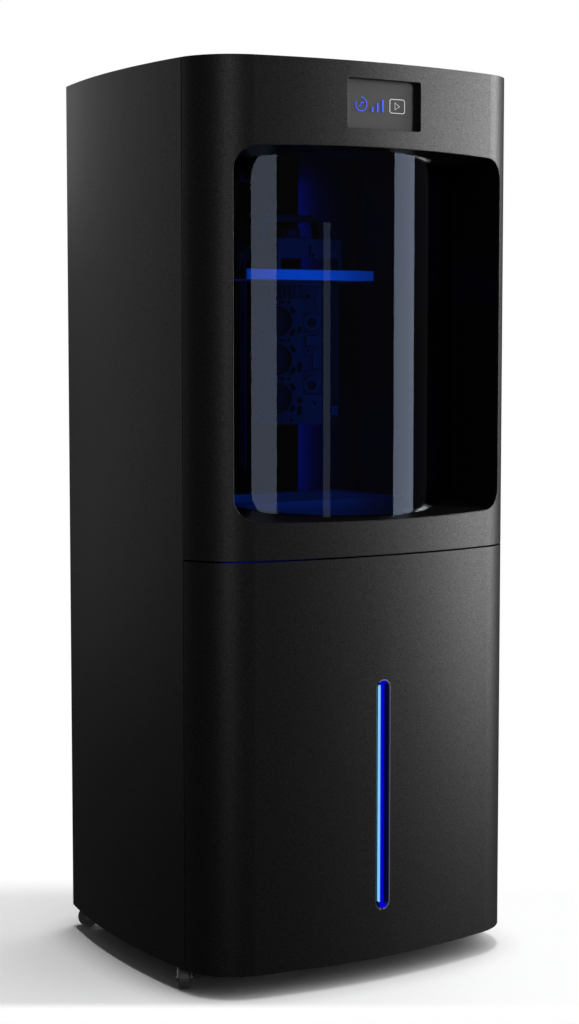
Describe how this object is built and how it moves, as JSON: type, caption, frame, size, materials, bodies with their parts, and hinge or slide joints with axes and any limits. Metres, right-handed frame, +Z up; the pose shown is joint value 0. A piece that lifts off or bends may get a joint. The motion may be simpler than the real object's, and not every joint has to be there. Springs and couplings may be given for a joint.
{
  "type": "resin printer",
  "caption": "Tall floor-standing resin printer on casters, with two wrap-around hinged doors, a bowed window, a lit chamber and a lift-driven build platform.",
  "frame": {"origin": "on the floor, under the centre of the cabinet's bounding box", "axes": "+X to the right seen from the front, +Y to the back, +Z up"},
  "size_m": [0.6984, 0.624, 1.642],
  "materials": {
    "body_paint": "satin black powder coat with a fine grain",
    "frame_steel": "black enamel",
    "liner_steel": "dark grey paint",
    "window_trim": "black, half gloss",
    "window_pane": "smoked, clear",
    "deck_aluminium": "bead-blasted, anodised",
    "bracket_aluminium": "anodised",
    "bright_steel": "machined",
    "caster_steel": "zinc plated",
    "caster_tread": "dark grey nylon",
    "brake_plastic": "dark grey",
    "motor_black": "matte black",
    "service_box": "plain zinc coated sheet",
    "black_plastic": "moulded",
    "display": "glossy",
    "light_channel": "black, half gloss",
    "light_diffuser": "milky, lit blue",
    "optical": "glossy",
    "film": "clear film",
    "cured_resin": "cured grey resin"
  },
  "bodies": {
    "cabinet": {"base_pan": "body_paint", "side_panel_left": "body_paint", "side_panel_right": "body_paint", "top_cover": "body_paint", "rear_panel": "body_paint", "cabinet_frame": "frame_steel", "hinge_arms": "frame_steel", "chamber_rear_liner": "liner_steel", "chamber_liner_left": "liner_steel", "chamber_liner_right": "liner_steel", "column_cover": "liner_steel", "deck_plate": "deck_aluminium", "light_engine": "deck_aluminium", "heat_sink": "deck_aluminium", "vat_frame": "deck_aluminium", "z_tower": "deck_aluminium", "linear_rails": "bright_steel", "screw_bearings": "bright_steel", "hinge_pins": "bright_steel", "door_catches": "bright_steel", "panel_screws": "bright_steel", "caster_plates": "caster_steel", "z_motor": "motor_black", "power_supply": "service_box", "control_box": "service_box", "fan_frame": "black_plastic", "power_inlet": "black_plastic", "chamber_light_strips": "light_diffuser", "lcd_mask": "optical", "led_array": "optical", "release_film": "film"},
    "upper_door": {"upper_door_shell": "body_paint", "window_surround": "window_trim", "window_glass": "window_pane", "touchscreen": "display"},
    "lower_door": {"lower_door_shell": "body_paint", "light_bar_channel": "light_channel", "light_bar_lens": "light_diffuser"},
    "z_carriage": {"carriage_plate": "deck_aluminium", "rail_blocks": "bright_steel", "ball_nut": "bright_steel", "platform_arm": "deck_aluminium", "platform_bracket": "bracket_aluminium", "platform_handle": "bracket_aluminium", "build_platform": "deck_aluminium", "printed_part": "cured_resin"},
    "z_screw": {"ball_screw": "bright_steel"},
    "clamp_knob_body": {"clamp_knob": "black_plastic"},
    "exhaust_fan": {"fan_rotor": "black_plastic"},
    "power_rocker": {"rocker_switch": "black_plastic"},
    "swivel_front_left": {"caster_fork_front_left": "caster_steel"},
    "wheel_front_left": {"caster_wheel_front_left": "caster_tread"},
    "swivel_front_right": {"caster_fork_front_right": "caster_steel"},
    "wheel_front_right": {"caster_wheel_front_right": "caster_tread"},
    "swivel_rear_left": {"caster_fork_rear_left": "caster_steel"},
    "wheel_rear_left": {"caster_wheel_rear_left": "caster_tread"},
    "swivel_rear_right": {"caster_fork_rear_right": "caster_steel"},
    "wheel_rear_right": {"caster_wheel_rear_right": "caster_tread"},
    "brake_front_left": {"brake_pedal_front_left": "brake_plastic"},
    "brake_front_right": {"brake_pedal_front_right": "brake_plastic"}
  },
  "joints": [
    {"name": "upper_door_hinge", "type": "hinge", "parent": "cabinet", "child": "upper_door", "pos_m": [-0.3234, -0.2094, 1.204], "axis": [0, 0, -1], "range_deg": [0, 105]},
    {"name": "lower_door_hinge", "type": "hinge", "parent": "cabinet", "child": "lower_door", "pos_m": [-0.3234, -0.2094, 0.422], "axis": [0, 0, -1], "range_deg": [0, 105]},
    {"name": "z_slide", "type": "slide", "parent": "cabinet", "child": "z_carriage", "axis": [0, 0, 1], "range_m": [-0.168, 0.028]},
    {"name": "z_screw_turn", "type": "hinge", "parent": "cabinet", "child": "z_screw", "pos_m": [0, 0.233, 1.142], "axis": [0, 0, 1], "range_deg": [-1010, 6052]},
    {"name": "clamp_knob_turn", "type": "hinge", "parent": "z_carriage", "child": "clamp_knob_body", "pos_m": [0, 0.001, 1.358], "axis": [0, 0, 1], "range_deg": [0, 360]},
    {"name": "exhaust_fan_spin", "type": "hinge", "parent": "cabinet", "child": "exhaust_fan", "pos_m": [0.185, 0.29, 1.372], "axis": [0, 1, 0], "continuous": true},
    {"name": "power_rocker_tilt", "type": "hinge", "parent": "cabinet", "child": "power_rocker", "pos_m": [-0.187, 0.3005, 0.137], "axis": [-1, 0, 0], "range_deg": [0, 16]},
    {"name": "swivel_front_left_turn", "type": "hinge", "parent": "cabinet", "child": "swivel_front_left", "pos_m": [-0.32, -0.149, 0.045], "axis": [0, 0, 1], "continuous": true},
    {"name": "wheel_front_left_roll", "type": "hinge", "parent": "swivel_front_left", "child": "wheel_front_left", "pos_m": [-0.32762, -0.16074, 0.02], "axis": [0.8387, -0.5446, 0], "continuous": true},
    {"name": "swivel_front_right_turn", "type": "hinge", "parent": "cabinet", "child": "swivel_front_right", "pos_m": [0.32, -0.149, 0.045], "axis": [0, 0, 1], "continuous": true},
    {"name": "wheel_front_right_roll", "type": "hinge", "parent": "swivel_front_right", "child": "wheel_front_right", "pos_m": [0.327, -0.16112, 0.02], "axis": [0.866, 0.5, 0], "continuous": true},
    {"name": "swivel_rear_left_turn", "type": "hinge", "parent": "cabinet", "child": "swivel_rear_left", "pos_m": [-0.272, 0.285, 0.045], "axis": [0, 0, 1], "continuous": true},
    {"name": "wheel_rear_left_roll", "type": "hinge", "parent": "swivel_rear_left", "child": "wheel_rear_left", "pos_m": [-0.28374, 0.29262, 0.02], "axis": [-0.5446, -0.8387, 0], "continuous": true},
    {"name": "swivel_rear_right_turn", "type": "hinge", "parent": "cabinet", "child": "swivel_rear_right", "pos_m": [0.272, 0.285, 0.045], "axis": [0, 0, 1], "continuous": true},
    {"name": "wheel_rear_right_roll", "type": "hinge", "parent": "swivel_rear_right", "child": "wheel_rear_right", "pos_m": [0.28347, 0.29303, 0.02], "axis": [-0.5736, 0.8192, 0], "continuous": true},
    {"name": "brake_front_left_lift", "type": "hinge", "parent": "swivel_front_left", "child": "brake_front_left", "pos_m": [-0.30566, -0.15831, 0.035], "axis": [-0.5446, -0.8387, 0], "range_deg": [0, 10]},
    {"name": "brake_front_right_lift", "type": "hinge", "parent": "swivel_front_right", "child": "brake_front_right", "pos_m": [0.30519, -0.15755, 0.035], "axis": [-0.5, 0.866, 0], "range_deg": [0, 10]}
  ],
  "couplings": [
    {"joint": "z_screw_turn", "follows": "z_slide", "rad_per_m": -628.32}
  ]
}
